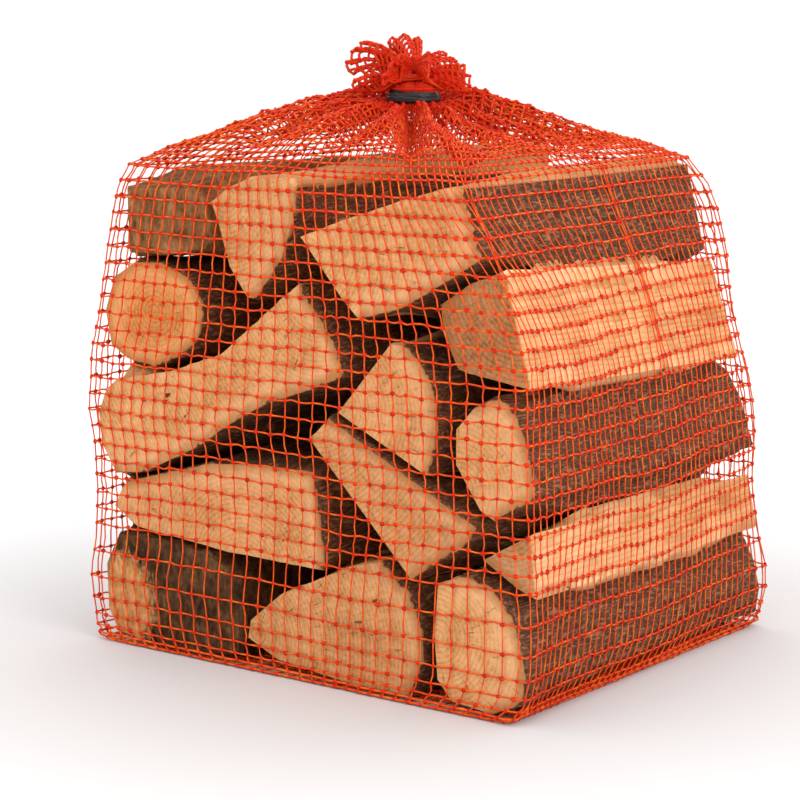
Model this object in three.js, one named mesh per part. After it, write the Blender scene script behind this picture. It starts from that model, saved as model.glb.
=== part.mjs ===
// Firewood bundle: split logs stacked end-on in a net bag that is gathered and tied on top.
// Millimetres, +Z up. The logs lie along Y, so their sawn ends make the -Y and +Y faces.
// The origin is the centre of the base on the ground.
import * as THREE from "three";
import { mergeVertices } from "three/addons/utils/BufferGeometryUtils.js";

// The pile
const FRONT_Y = -124; // sawn ends at the front
const BACK_Y = 124; // sawn ends at the back
const PILE_LEFT_X = -137; // the side that stays square
const PILE_WIDTH = 280;
const DRAW_IN_LOW = 0.035; // share of its width that the back of the pile draws in, at the ground
const DRAW_IN_PER_MM = 0.00018; // and what each mm of height adds to that
const BACK_SHORT_PER_MM = 0.045; // how much sooner the right of the pile ends, for each mm of height
const BACK_SETTLE = 0.06; // share of its height that the back of the pile has settled
const SETTLE_FADE_START = 225; // the top course settles less, between these two heights
const SETTLE_FADE_END = 262;

// Along a log: the broken edge round each sawn end, and where its waist is shaped
const END_BREAK_DEPTH = 2.5;
const END_BREAK_INSET = 0.8;
const WAIST_SHARES = [0.3, 0.5, 0.7];

// The net bag
const NET_WALL = 1.6;
const NET_CORNER = 4;
const CORNER_STEPS = 3;
const FACE_STEPS = 7;
const LOW_SIDE_DROP = 6; // the bag's top edge is lower over the left logs
const LOW_SIDE_START = 40; // distances left of the middle
const LOW_SIDE_END = 110;
const TOP_START_Z = 248;
const TOP_END_Z = 262;
const NECK_CENTRE_X = -14;
const NECK_CENTRE_Y = -10;
const NECK_RADIUS = 12.2;
const NECK_BOTTOM_Z = 293;
const NECK_TOP_Z = 304;
const RUFFLE_LOBES = 5;
const RUFFLE_LOBE_DEPTH = 0.09;

// The tie: a flat band wound twice round the neck
const TIE_GAP = 0.3;
const TIE_THICKNESS = 2.2;
const TIE_HEIGHT = 7;
const TIE_GROOVE = 0.7;
const TIE_BOTTOM_Z = 295.5;
const TIE_SEGMENTS = 48;

// Wood colours
const FRESH_SPLIT = 0xdba76c;
const ORANGE_SPLIT = 0xc9813f;
const PALE_SPLIT = 0xe6b880;
const BARK = 0x4a3b36;
const WEATHERED = 0x5c4a34;

// Each log: its end outline as [x, z] points, where its two ends stand,
// how far its waist slims, and how far out of square each end is sawn (mm of y per mm of x).
const LOGS = [
  {
    name: "log_weathered_bottom_left",
    colour: WEATHERED,
    front: FRONT_Y,
    back: BACK_Y,
    waist: 0.03,
    saw: [0.02, -0.02],
    outline: [
      [-139, 18], [-132, 6], [-110, 3], [-66, 3], [-43, 6], [-40, 30],
      [-43, 50], [-64, 59], [-98, 63], [-130, 62], [-140, 44],
    ],
  },
  {
    name: "log_quarter_bottom_middle",
    colour: FRESH_SPLIT,
    front: FRONT_Y,
    back: BACK_Y - 2,
    waist: 0.02,
    saw: [0.01, 0.03],
    outline: [
      [-37, 17], [-16, 8], [34, 3], [72, 3], [80, 20], [80, 40],
      [71, 57], [54, 71], [34, 66], [-14, 44], [-35, 27],
    ],
  },
  {
    name: "log_bark_bottom_right",
    colour: BARK,
    front: FRONT_Y,
    back: BACK_Y - 1,
    waist: 0.02,
    saw: [0.02, 0.02],
    outline: [
      [87, 38], [89, 15], [98, 5], [123, 2.5], [140, 10], [143, 24],
      [140, 41], [133, 57], [122, 67], [104, 71], [89, 64],
    ],
  },
  {
    name: "log_half_lower_left",
    colour: FRESH_SPLIT,
    front: FRONT_Y + 1,
    back: BACK_Y,
    waist: 0.03,
    saw: [-0.01, 0.02],
    outline: [
      [-137, 76], [-119, 66], [-52, 61], [14, 60], [18, 66],
      [11, 112], [-26, 112], [-64, 108], [-127, 91],
    ],
  },
  {
    name: "log_slab_centre",
    colour: FRESH_SPLIT,
    front: FRONT_Y + 1,
    back: BACK_Y - 3,
    waist: 0.03,
    saw: [0.02, 0.01],
    outline: [
      [6, 129], [20, 142], [113, 96], [104, 84], [72, 63],
    ],
  },
  {
    name: "log_thin_split_right",
    colour: PALE_SPLIT,
    front: FRONT_Y + 8,
    back: BACK_Y - 1,
    waist: 0.02,
    saw: [0.02, 0.02],
    outline: [
      [111, 78], [139, 94], [143, 62], [132, 66],
    ],
  },
  {
    name: "log_long_wedge_left",
    colour: FRESH_SPLIT,
    front: FRONT_Y,
    back: BACK_Y - 1,
    waist: 0.02,
    saw: [0.01, -0.01],
    outline: [
      [-144, 128], [-138, 141], [-130, 147], [-90, 155], [-54, 167], [-16, 196],
      [0, 208], [22, 183], [31, 163], [8, 154], [-24, 143], [-52, 128],
      [-70, 116], [-110, 97.5], [-132, 95], [-142, 110],
    ],
  },
  {
    name: "log_quarter_centre",
    colour: FRESH_SPLIT,
    front: FRONT_Y + 2,
    back: BACK_Y - 2,
    waist: 0.03,
    saw: [0.02, 0.02],
    outline: [
      [58, 182], [68, 182], [84, 165], [88, 142], [81, 116.5], [24, 143.5],
    ],
  },
  {
    name: "log_bark_right",
    colour: BARK,
    front: FRONT_Y + 7,
    back: BACK_Y - 2,
    waist: 0.02,
    saw: [0.03, 0.02],
    outline: [
      [95, 142], [106, 154], [120, 161], [129, 155], [137, 140],
      [144, 112], [118, 98], [110, 102], [95, 124],
    ],
  },
  {
    name: "log_split_upper_right",
    colour: PALE_SPLIT,
    front: FRONT_Y + 6,
    back: BACK_Y - 8,
    waist: 0.02,
    saw: [0.02, 0.04],
    outline: [
      [86, 203], [103, 214], [124, 222], [140, 165], [97, 171], [88, 188],
    ],
  },
  {
    name: "log_round_left",
    colour: ORANGE_SPLIT,
    front: FRONT_Y + 3,
    back: BACK_Y,
    waist: 0.04,
    saw: [0.03, -0.02],
    outline: [
      [-136, 165], [-124, 158], [-104, 155.5], [-84, 163], [-72, 174], [-68, 190],
      [-78, 206], [-98, 213], [-118, 212], [-133, 203], [-140, 184],
    ],
  },
  {
    name: "log_weathered_top_left",
    colour: WEATHERED,
    front: FRONT_Y + 1,
    back: BACK_Y - 4,
    waist: 0.03,
    saw: [0.02, 0.02],
    outline: [
      [-121, 252], [-72, 254], [-64, 246], [-59, 230], [-64, 221], [-94, 217], [-120, 216.5],
    ],
  },
  {
    name: "log_wedge_top",
    colour: FRESH_SPLIT,
    front: FRONT_Y + 1,
    back: BACK_Y - 2,
    waist: 0.03,
    saw: [-0.02, 0.02],
    outline: [
      [-61, 247], [-51, 254], [-33, 261], [-6, 261], [-2, 258], [-3, 240],
      [-11, 220], [-24, 204], [-30, 197], [-36, 198], [-48, 213], [-56, 236],
    ],
  },
  {
    name: "log_split_top_right",
    colour: FRESH_SPLIT,
    front: FRONT_Y,
    back: BACK_Y - 2,
    waist: 0.02,
    saw: [0.01, 0.04],
    outline: [
      [1, 232], [26, 241], [68, 254], [95, 261], [104, 260], [110, 243],
      [115, 227], [102, 219], [68, 200], [39, 192], [28, 202],
    ],
  },
];

// The bag's outside at each height: left and right at the front, then front and back.
const NET_LEVELS = [
  { z: 0, left: -139, right: 128, front: -124.5, back: 124.5 },
  { z: 3, left: -142.5, right: 134.5, front: -127.8, back: 127.8 },
  { z: 10, left: -144, right: 144, front: -128, back: 128 },
  { z: 24, left: -145, right: 147, front: -128, back: 128 },
  { z: 44, left: -145, right: 146.5, front: -128, back: 128 },
  { z: 64, left: -144, right: 147.2, front: -128, back: 128 },
  { z: 92, left: -144.5, right: 148, front: -128, back: 128 },
  { z: 114, left: -147, right: 148, front: -128, back: 128 },
  { z: 129, left: -148, right: 146.5, front: -128, back: 128 },
  { z: 146, left: -145.5, right: 145, front: -128, back: 128 },
  { z: 166, left: -144, right: 143.5, front: -128, back: 128 },
  { z: 186, left: -143.5, right: 138.5, front: -128, back: 128 },
  { z: 208, left: -138, right: 132, front: -128, back: 128 },
  { z: 226, left: -131, right: 126.5, front: -128, back: 128 },
  { z: 246, left: -125.5, right: 116, front: -128, back: 127.5 },
  { z: 256, left: -125, right: 111, front: -128, back: 127 },
  { z: 262.5, left: -124, right: 108.5, front: -127.8, back: 126 },
  { z: 266, left: -116, right: 104, front: -121, back: 119 },
];

// From the shoulder to the neck: how far in, and how high, each ring stands.
const SHOULDER_RINGS = [
  { share: 0.2, z: 275 },
  { share: 0.42, z: 286 },
  { share: 0.62, z: 293.5 },
  { share: 0.8, z: 296 },
  { share: 0.93, z: 294.5 },
];

// Above the tie the net opens again into a ruffle: radius and height of each ring.
const RUFFLE_RINGS = [
  { radius: 18, z: 307 },
  { radius: 26, z: 312 },
  { radius: 31, z: 319 },
  { radius: 32, z: 326 },
  { radius: 29.5, z: 331 },
];

// Where a point of a square pile really lies: share is 0 at the front and 1 at the back.
function inPile(x, y, z, share) {
  const across = x - PILE_LEFT_X;
  const drawIn = (DRAW_IN_LOW + DRAW_IN_PER_MM * z) * across * share;
  const short = BACK_SHORT_PER_MM * z * (across / PILE_WIDTH) ** 2 * share;
  return new THREE.Vector3(x - drawIn, y - short, z);
}

function settled(z, share) {
  const fade = 1 - THREE.MathUtils.smoothstep(z, SETTLE_FADE_START, SETTLE_FADE_END);
  return z - BACK_SETTLE * z * fade * share;
}

function solidMesh(name, geometry, material) {
  geometry.deleteAttribute("normal");
  geometry.deleteAttribute("uv");
  const welded = mergeVertices(geometry, 1e-4);
  welded.computeVertexNormals();
  const mesh = new THREE.Mesh(welded, material);
  mesh.name = name;
  return mesh;
}

function woodMaterial(colour) {
  return new THREE.MeshStandardMaterial({ color: colour, roughness: 0.85, metalness: 0 });
}

// A log is its end outline carried along Y; the sections between follow the way the pile lies.
function makeLog(log) {
  const length = log.back - log.front;
  const waistStations = WAIST_SHARES.map((share) => share * length);
  const stations = [0, END_BREAK_DEPTH, ...waistStations, length - END_BREAK_DEPTH, length];
  const shape = new THREE.Shape(log.outline.map(([x, z]) => new THREE.Vector2(x, z)));
  const steps = stations.length - 1;
  const geometry = new THREE.ExtrudeGeometry(shape, { depth: steps, steps, bevelEnabled: false });
  const box = new THREE.Box2().setFromPoints(shape.getPoints());
  const middle = box.getCenter(new THREE.Vector2());
  const reach = 0.5 * Math.min(box.max.x - box.min.x, box.max.y - box.min.y);
  const position = geometry.attributes.position;
  for (let i = 0; i < position.count; i += 1) {
    const station = steps - Math.round(position.getZ(i));
    const along = stations[station];
    const share = along / length;
    const waist = 1 - log.waist * Math.sin(Math.PI * share);
    const isEnd = station === 0 || station === steps;
    const size = isEnd ? waist - END_BREAK_INSET / reach : waist;
    const x = middle.x + (position.getX(i) - middle.x) * size;
    const z = middle.y + (position.getY(i) - middle.y) * size;
    const slope = THREE.MathUtils.lerp(log.saw[0], log.saw[1], share);
    const y = log.front + along + slope * (x - middle.x);
    const point = inPile(x, y, z, share);
    position.setXYZ(i, point.x, point.y, settled(z, share));
  }
  return solidMesh(log.name, geometry, woodMaterial(log.colour));
}

// One walk round the bag's outline, from its front right corner. Each step is a place on the
// rectangle (u and v from -1 to 1) and, on a corner, the shift that rounds it.
function outlineSteps() {
  const corners = [[1, -1, -90], [1, 1, 0], [-1, 1, 90], [-1, -1, 180]];
  const walk = [];
  corners.forEach(([u, v, firstTurn], corner) => {
    for (let step = 0; step < CORNER_STEPS; step += 1) {
      const turn = THREE.MathUtils.degToRad(firstTurn + (90 * step) / (CORNER_STEPS - 1));
      walk.push({ u, v, turnX: Math.cos(turn) - u, turnY: Math.sin(turn) - v });
    }
    const [nextU, nextV] = corners[(corner + 1) % corners.length];
    for (let step = 1; step <= FACE_STEPS; step += 1) {
      const share = step / (FACE_STEPS + 1);
      walk.push({
        u: THREE.MathUtils.lerp(u, nextU, share),
        v: THREE.MathUtils.lerp(v, nextV, share),
        turnX: 0,
        turnY: 0,
      });
    }
  });
  return walk;
}

function bagPoint(level, step, inset) {
  const left = level.left + inset;
  const right = level.right - inset;
  const front = level.front + inset;
  const back = level.back - inset;
  const corner = NET_CORNER - inset;
  const x = (left + right) / 2 + (step.u * (right - left)) / 2 + step.turnX * corner;
  const y = (front + back) / 2 + (step.v * (back - front)) / 2 + step.turnY * corner;
  const share = THREE.MathUtils.clamp((y - FRONT_Y) / (BACK_Y - FRONT_Y), 0, 1);
  const point = inPile(x, y, level.z, share);
  const low = THREE.MathUtils.smoothstep(-x, LOW_SIDE_START, LOW_SIDE_END);
  const top = THREE.MathUtils.smoothstep(level.z, TOP_START_Z, TOP_END_Z);
  point.z -= LOW_SIDE_DROP * low * top;
  return point;
}

// A point on the gathered net: the same walk, bent round the neck.
function neckPoint(radius, z, angle) {
  const x = NECK_CENTRE_X + radius * Math.cos(angle);
  const y = NECK_CENTRE_Y + radius * Math.sin(angle);
  return new THREE.Vector3(x, y, z);
}

function ruffleRadius(ring, angle, inset) {
  return ring.radius * (1 + RUFFLE_LOBE_DEPTH * Math.cos(RUFFLE_LOBES * angle)) - inset;
}

// The bag is one thin-walled bottle: outside from the base up to the ruffle, then back down inside.
function bagRings(inset) {
  const rings = NET_LEVELS.map((level) => {
    const above = level.z > NET_LEVELS.at(-2).z ? inset : 0;
    return (step) => bagPoint({ ...level, z: level.z - above }, step, inset);
  });
  const shoulder = NET_LEVELS.at(-1);
  for (const ring of SHOULDER_RINGS) {
    rings.push((step, angle) => {
      const edge = bagPoint(shoulder, step, inset);
      const neck = neckPoint(NECK_RADIUS - inset, ring.z - inset, angle);
      edge.z = neck.z;
      return edge.lerp(neck, ring.share);
    });
  }
  rings.push((step, angle) => neckPoint(NECK_RADIUS - inset, NECK_BOTTOM_Z, angle));
  rings.push((step, angle) => neckPoint(NECK_RADIUS - inset, NECK_TOP_Z, angle));
  for (const ring of RUFFLE_RINGS) {
    rings.push((step, angle) => neckPoint(ruffleRadius(ring, angle, inset), ring.z, angle));
  }
  return rings;
}

function makeNetBag() {
  const walk = outlineSteps();
  const outside = bagRings(0);
  const inside = bagRings(NET_WALL).slice(1);
  const floorLevel = { ...NET_LEVELS[1], z: NET_WALL };
  const floorCentre = new THREE.Vector3(0, 0, NET_WALL);
  const rings = [
    () => new THREE.Vector3(0, 0, 0),
    ...outside,
    ...inside.reverse().slice(0, -1),
    (step) => bagPoint(floorLevel, step, 2 * NET_WALL),
    () => floorCentre,
  ];
  const profile = rings.map((ring, index) => new THREE.Vector2(
    index === 0 || index === rings.length - 1 ? 0 : 1,
    index,
  ));
  const geometry = new THREE.LatheGeometry(profile, walk.length);
  const shoulder = NET_LEVELS.at(-1);
  const position = geometry.attributes.position;
  for (let i = 0; i < position.count; i += 1) {
    const step = walk[Math.floor(i / rings.length) % walk.length];
    const edge = bagPoint(shoulder, step, 0);
    const angle = Math.atan2(edge.y - NECK_CENTRE_Y, edge.x - NECK_CENTRE_X);
    const point = rings[i % rings.length](step, angle);
    position.setXYZ(i, point.x, point.y, point.z);
  }
  const material = new THREE.MeshStandardMaterial({ color: 0xf2501e, roughness: 0.45, metalness: 0 });
  return solidMesh("net_bag", geometry, material);
}

// Two turns of band lie against each other with a groove between them.
function makeTie() {
  const inner = NECK_RADIUS + TIE_GAP;
  const outer = inner + TIE_THICKNESS;
  const profile = [
    new THREE.Vector2(inner, 0),
    new THREE.Vector2(outer - TIE_GROOVE, 0),
    new THREE.Vector2(outer, 1),
    new THREE.Vector2(outer, TIE_HEIGHT / 2 - 1),
    new THREE.Vector2(outer - TIE_GROOVE, TIE_HEIGHT / 2),
    new THREE.Vector2(outer, TIE_HEIGHT / 2 + 1),
    new THREE.Vector2(outer, TIE_HEIGHT - 1),
    new THREE.Vector2(outer - TIE_GROOVE, TIE_HEIGHT),
    new THREE.Vector2(inner, TIE_HEIGHT),
    new THREE.Vector2(inner, 0),
  ];
  const geometry = new THREE.LatheGeometry(profile, TIE_SEGMENTS);
  const material = new THREE.MeshStandardMaterial({ color: 0x1c2226, roughness: 0.35, metalness: 0 });
  const mesh = solidMesh("tie_band", geometry, material);
  mesh.position.set(NECK_CENTRE_X, NECK_CENTRE_Y, TIE_BOTTOM_Z);
  mesh.rotation.x = Math.PI / 2;
  return mesh;
}

const group = new THREE.Group();
group.name = "firewood_bundle";
for (const log of LOGS) {
  group.add(makeLog(log));
}
group.add(makeNetBag());
group.add(makeTie());

export default group;
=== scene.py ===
import math

import bpy
import numpy as np
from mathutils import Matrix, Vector, kdtree
from mathutils.bvhtree import BVHTree


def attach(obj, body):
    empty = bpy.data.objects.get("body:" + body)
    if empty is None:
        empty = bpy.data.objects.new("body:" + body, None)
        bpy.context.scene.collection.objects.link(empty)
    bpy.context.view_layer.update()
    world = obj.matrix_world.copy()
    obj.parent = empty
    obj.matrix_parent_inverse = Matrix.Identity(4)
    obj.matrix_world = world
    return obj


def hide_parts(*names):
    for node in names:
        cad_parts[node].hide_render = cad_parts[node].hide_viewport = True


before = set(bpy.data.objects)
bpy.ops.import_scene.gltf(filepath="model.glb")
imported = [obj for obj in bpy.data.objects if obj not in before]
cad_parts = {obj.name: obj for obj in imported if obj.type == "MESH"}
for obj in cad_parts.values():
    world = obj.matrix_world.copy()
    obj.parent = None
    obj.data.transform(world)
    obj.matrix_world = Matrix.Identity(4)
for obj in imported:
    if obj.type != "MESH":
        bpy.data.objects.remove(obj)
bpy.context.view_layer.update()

MM = 0.001


# ---------------------------------------------------------------- small tools

def colour(hex_code):
    """An sRGB hex colour as the linear colour that the shader sockets want."""
    channels = [int(hex_code[i:i + 2], 16) / 255 for i in (1, 3, 5)]
    linear = [c / 12.92 if c <= 0.04045 else ((c + 0.055) / 1.055) ** 2.4 for c in channels]
    return (*linear, 1.0)


def add_node(tree, kind, settings=None, links=None):
    """Adds a node. A setting is a property or an input; a link is input: (node, output)."""
    made = tree.nodes.new(kind)
    for key, value in (settings or {}).items():
        if isinstance(key, int) or key in made.inputs:
            made.inputs[key].default_value = value
        else:
            setattr(made, key, value)
    for key, (source, output) in (links or {}).items():
        tree.links.new(source.outputs[output], made.inputs[key])
    return made


def colour_steps(ramp_node, steps):
    """Sets a colour ramp's stops from (place, hex) pairs."""
    ramp = ramp_node.color_ramp
    while len(ramp.elements) < len(steps):
        ramp.elements.new(0.5)
    for element, (place, hex_code) in zip(ramp.elements, steps):
        element.position = place
        element.color = colour(hex_code)


def new_material(name):
    material = bpy.data.materials.new(name)
    material.use_nodes = True
    material.node_tree.nodes.clear()
    return material, material.node_tree


def close_material(tree, surface, height, depth):
    """Gives the surface its relief, depth in metres, and the output node."""
    bump = add_node(tree, "ShaderNodeBump", {"Strength": 1.0, "Distance": depth},
                    {"Height": height})
    tree.links.new(bump.outputs["Normal"], surface.inputs["Normal"])
    add_node(tree, "ShaderNodeOutputMaterial", links={"Surface": (surface, "BSDF")})


def only(piece):
    """Leaves just this piece selected and active."""
    bpy.ops.object.select_all(action="DESELECT")
    piece.select_set(True)
    bpy.context.view_layer.objects.active = piece


def apply_modifiers(piece):
    only(piece)
    for modifier in list(piece.modifiers):
        bpy.ops.object.modifier_apply(modifier=modifier.name)


def smoothstep(value, low, high):
    t = np.clip((value - low) / (high - low), 0, 1)
    return t * t * (3 - 2 * t)


# ---------------------------------------------------------------- camera, floor and light

def make_camera():
    data = bpy.data.cameras.new("camera")
    data.lens = 111.8
    data.sensor_width = 36
    data.clip_end = 100
    camera = bpy.data.objects.new("camera", data)
    camera.location = (0.8136, -1.0848, 0.345)
    camera.rotation_euler = (math.radians(81.1), 0, math.radians(37.9))
    bpy.context.collection.objects.link(camera)
    bpy.context.scene.camera = camera


def floor_material():
    """Matt white paper sweep: even and soft, so that it only shows the shadow; painted shadow
    makes it a little greyer where it lies under the work."""
    material, tree = new_material("white_paper_sweep")
    place = add_node(tree, "ShaderNodeTexCoord")
    fibre = add_node(tree, "ShaderNodeTexNoise", {"Scale": 9.0, "Detail": 4.0},
                     {"Vector": (place, "Object")})
    # Painted shadow: the paper is greyer near the middle, under the work, and white from 0.62 m
    # out.
    away = add_node(tree, "ShaderNodeVectorMath", {"operation": "LENGTH"},
                    {"Vector": (place, "Object")})
    painted_shadow_spread = add_node(tree, "ShaderNodeMapRange",
                      {"interpolation_type": "SMOOTHSTEP", "From Min": 0.16, "From Max": 0.62,
                       "To Min": 0.0, "To Max": 1.0}, {"Value": (away, "Value")})
    tint = add_node(tree, "ShaderNodeValToRGB", links={"Fac": (painted_shadow_spread, "Result")})
    colour_steps(tint, [(0.0, "#D9D9DA"), (1.0, "#FBFBFB")])
    paper = add_node(tree, "ShaderNodeBsdfPrincipled", {"Roughness": 0.9},
                     {"Base Color": (tint, "Color")})
    close_material(tree, paper, (fibre, "Fac"), 0.00002)
    return material


def make_floor():
    bpy.ops.mesh.primitive_plane_add(size=60, location=(0, 0, 0))
    floor = bpy.context.object
    floor.name = "floor"
    bpy.ops.object.mode_set(mode="EDIT")
    bpy.ops.mesh.subdivide(number_cuts=3)
    bpy.ops.object.mode_set(mode="OBJECT")
    bpy.ops.object.transform_apply(location=True)
    floor.data.materials.append(floor_material())


def make_light(name, place, target, size, watts, tint):
    data = bpy.data.lights.new(name, "AREA")
    data.shape = "RECTANGLE"
    data.size, data.size_y = size
    data.energy = watts
    data.color = colour(tint)[:3]
    lamp = bpy.data.objects.new(name, data)
    lamp.location = place
    aim = Vector(target) - Vector(place)
    lamp.rotation_euler = aim.to_track_quat("-Z", "Y").to_euler()
    bpy.context.collection.objects.link(lamp)


def make_studio():
    make_light("key_softbox", (1.9, -0.5, 1.1), (0, 0, 0.15), (1.0, 1.0), 14, "#FFFAF2")
    make_light("front_softbox", (-0.5, -2.2, 1.2), (0, 0, 0.15), (1.6, 1.2), 3, "#FFFCF8")
    make_light("top_softbox", (0.1, 0.3, 2.2), (0, 0, 0), (1.8, 1.8), 8, "#FFFFFF")
    world = bpy.data.worlds.new("studio")
    world.use_nodes = True
    world.node_tree.nodes["Background"].inputs["Color"].default_value = (1, 1, 1, 1)
    world.node_tree.nodes["Background"].inputs["Strength"].default_value = 1.12
    bpy.context.scene.world = world
    bpy.context.scene.view_settings.view_transform = "Standard"


# ---------------------------------------------------------------- the logs

PILE_LEFT = -0.137
LOG_FRONT = -0.124
LOG_LENGTH = 0.248
BARK_THICKNESS = 1.3  # millimetres
# Light comes through the left edge of the pile at this slant, across for each metre along.
SLANT = 0.78
# The widest gap between two logs that they still close by settling, in metres.
WIDEST_GAP = 0.022

# Each log: its finish, the directions its bark faces in degrees (0 is +X, 90 is up), and its
# pith, the middle of its growth rings, as x and z at the front in millimetres.
LOGS = {
    "log_weathered_bottom_left": ("dark_brown", (-180, 180), (-88, 30)),
    "log_quarter_bottom_middle": ("tan", (-55, 75), (-30, 20)),
    "log_bark_bottom_right": ("tan", (-75, 112), (90, 38)),
    "log_half_lower_left": ("tan", (-50, 125), (-40, 52)),
    "log_slab_centre": ("tan", (-70, 110), (12, 146)),
    "log_thin_split_right": ("pale", (-140, -95), (128, 96)),
    "log_long_wedge_left": ("tan", (-110, 60), (12, 206)),
    "log_quarter_centre": ("tan", (-65, 70), (26, 146)),
    "log_bark_right": ("tan", (-80, 125), (98, 112)),
    "log_split_upper_right": ("pale", (120, 250), (134, 214)),
    "log_round_left": ("orange", (-180, 180), (-104, 186)),
    "log_weathered_top_left": ("grey_brown", (-180, 180), (-86, 234)),
    "log_wedge_top": ("tan", (-75, 40), (-50, 250)),
    # Its bark reaches round onto its shaded underside, so the dark bark there is partly real bark
    # and partly painted shade.
    "log_split_top_right": ("tan", (-75, 60), (8, 226)),
}
# Sawn ends that are darker brown all over, from 0 to 1.
DARKER_ENDS = {"log_split_upper_right": 0.85, "log_quarter_bottom_middle": 0.25,
             "log_slab_centre": 0.25, "log_thin_split_right": 0.6, "log_wedge_top": 0.2}
# How much higher a log's upper side stands at the back than the CAD log's, in how long a run,
# and up to which x, all in metres.
RISING_TOPS = {"log_wedge_top": (0.008, 0.15, 1.0), "log_weathered_top_left": (0.010, 0.05, 1.0),
               "log_split_top_right": (0.010, 0.12, 0.082)}
# How far in from the pile's left edge light shows round a log, in metres.
DAYLIGHT = {"log_weathered_top_left": 0.017, "log_round_left": 0.008}

WOOD_COLOURS = {
    "tan": ["#AE7644", "#D0965E", "#E0A76F", "#ECBB88"],
    "pale": ["#BE8650", "#DBA872", "#E9B986", "#F5CE9E"],
    "orange": ["#AA682E", "#D18C4A", "#E29D5C", "#EEB478"],
}
WEATHERED_COLOURS = {
    "grey_brown": ["#38200F", "#704829", "#99683F", "#C2946A"],
    "dark_brown": ["#160D08", "#3A2414", "#604027", "#967048"],
}


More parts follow.
